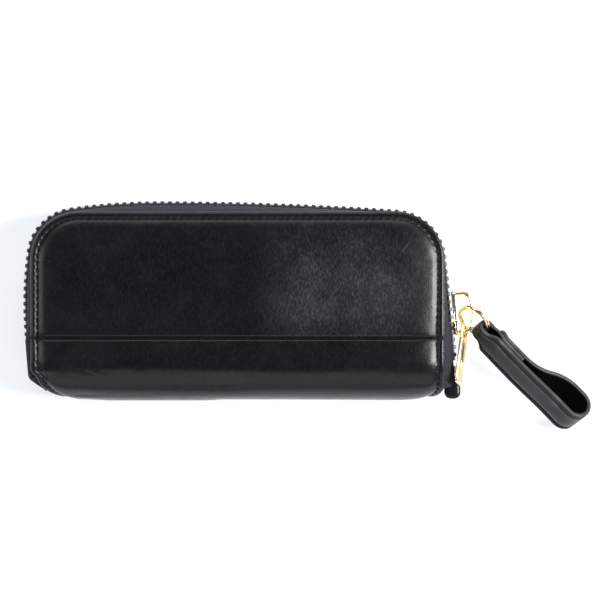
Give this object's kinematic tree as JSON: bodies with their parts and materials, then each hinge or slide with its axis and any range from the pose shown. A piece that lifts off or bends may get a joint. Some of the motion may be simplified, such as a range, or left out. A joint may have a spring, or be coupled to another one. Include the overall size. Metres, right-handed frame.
{
  "type": "key case",
  "caption": "Zip-round leather key case with padded covers, a toothed zipper on its free sides, a slider with pull and looped strap, and a bar of sprung key hooks inside.",
  "frame": {"origin": "middle of the closed case on the flat outer face of its back cover, where it lies on a table", "axes": "+X along the case towards the end with the slider and strap, +Y from the spine to the opening edge, +Z out of the front cover"},
  "size_m": [0.1765, 0.0709, 0.025],
  "materials": {
    "leather": "smooth, slightly glossy black",
    "board": "padded stiffening board, hidden",
    "lining": "black woven lining",
    "tape": "black woven zipper tape",
    "teeth": "black zipper teeth, satin",
    "gold": "polished pale gold plating"
  },
  "bodies": {
    "case": {"back_panel": "leather", "spine_strip": "leather", "zipper_end_tab": "leather", "back_board": "board", "spine_board": "board", "case_lining": "lining", "back_tape": "tape", "front_tape_left_end": "tape", "front_tape_right_end": "tape", "front_teeth_left_end": "teeth", "front_teeth_right_end": "teeth", "back_teeth": "teeth", "left_end_stop": "teeth", "right_end_stops": "gold", "hook_bar": "gold", "hook_pin": "gold", "bar_rivets": "gold"},
    "front_cover": {"front_panel": "leather", "front_board": "board", "front_lining": "lining", "front_tape": "tape", "front_teeth": "teeth"},
    "slider": {"slider": "gold"},
    "pull_tab": {"pull_tab": "gold"},
    "jump_ring": {"jump_ring": "gold"},
    "strap": {"strap_loop": "leather"},
    "key_hook_1": {"key_hook_1": "gold"},
    "hook_gate_1": {"hook_gate_1": "gold"},
    "key_hook_2": {"key_hook_2": "gold"},
    "hook_gate_2": {"hook_gate_2": "gold"},
    "key_hook_3": {"key_hook_3": "gold"},
    "hook_gate_3": {"hook_gate_3": "gold"},
    "key_hook_4": {"key_hook_4": "gold"},
    "hook_gate_4": {"hook_gate_4": "gold"}
  },
  "joints": [
    {"name": "cover_hinge", "type": "hinge", "parent": "case", "child": "front_cover", "pos_m": [0, -0.01, 0.02505], "axis": [1, 0, 0], "range_deg": [0, 130]},
    {"name": "slider_slide", "type": "slide", "parent": "case", "child": "slider", "axis": [-0.0993, 0.9951, 0], "range_m": [-0.009, 0.008]},
    {"name": "pull_swing", "type": "hinge", "parent": "slider", "child": "pull_tab", "pos_m": [0.07078, -0.0062, 0.01179], "axis": [-0.2599, 0.4147, 0.8721], "range_deg": [0, 34]},
    {"name": "ring_lift", "type": "hinge", "parent": "slider", "child": "jump_ring", "pos_m": [0.07006, -0.00095, 0.0125], "axis": [0.0993, -0.9951, 0], "range_deg": [0, 40]},
    {"name": "strap_swing", "type": "hinge", "parent": "jump_ring", "child": "strap", "pos_m": [0.07352, -0.00454, 0.01217], "axis": [-0.5451, -0.5821, 0.6033], "range_deg": [0, 70]},
    {"name": "hook_1_swing", "type": "hinge", "parent": "case", "child": "key_hook_1", "pos_m": [-0.05, -0.0059, 0.0053], "axis": [0, -1, 0], "range_deg": [0, 30]},
    {"name": "hook_2_swing", "type": "hinge", "parent": "case", "child": "key_hook_2", "pos_m": [-0.05, 0.0027, 0.0053], "axis": [0, -1, 0], "range_deg": [0, 30]},
    {"name": "hook_3_swing", "type": "hinge", "parent": "case", "child": "key_hook_3", "pos_m": [-0.05, 0.0113, 0.0053], "axis": [0, -1, 0], "range_deg": [0, 30]},
    {"name": "hook_4_swing", "type": "hinge", "parent": "case", "child": "key_hook_4", "pos_m": [-0.05, 0.0199, 0.0053], "axis": [0, -1, 0], "range_deg": [0, 30]},
    {"name": "gate_1_spring", "type": "hinge", "parent": "key_hook_1", "child": "hook_gate_1", "pos_m": [-0.0422, -0.009, 0.0053], "axis": [0, 0, 1], "range_deg": [0, 18], "stiffness_Nm_per_rad": 0.001},
    {"name": "gate_2_spring", "type": "hinge", "parent": "key_hook_2", "child": "hook_gate_2", "pos_m": [-0.0422, -0.0004, 0.0053], "axis": [0, 0, 1], "range_deg": [0, 18], "stiffness_Nm_per_rad": 0.001},
    {"name": "gate_3_spring", "type": "hinge", "parent": "key_hook_3", "child": "hook_gate_3", "pos_m": [-0.0422, 0.0082, 0.0053], "axis": [0, 0, 1], "range_deg": [0, 18], "stiffness_Nm_per_rad": 0.001},
    {"name": "gate_4_spring", "type": "hinge", "parent": "key_hook_4", "child": "hook_gate_4", "pos_m": [-0.0422, 0.0168, 0.0053], "axis": [0, 0, 1], "range_deg": [0, 18], "stiffness_Nm_per_rad": 0.001}
  ]
}
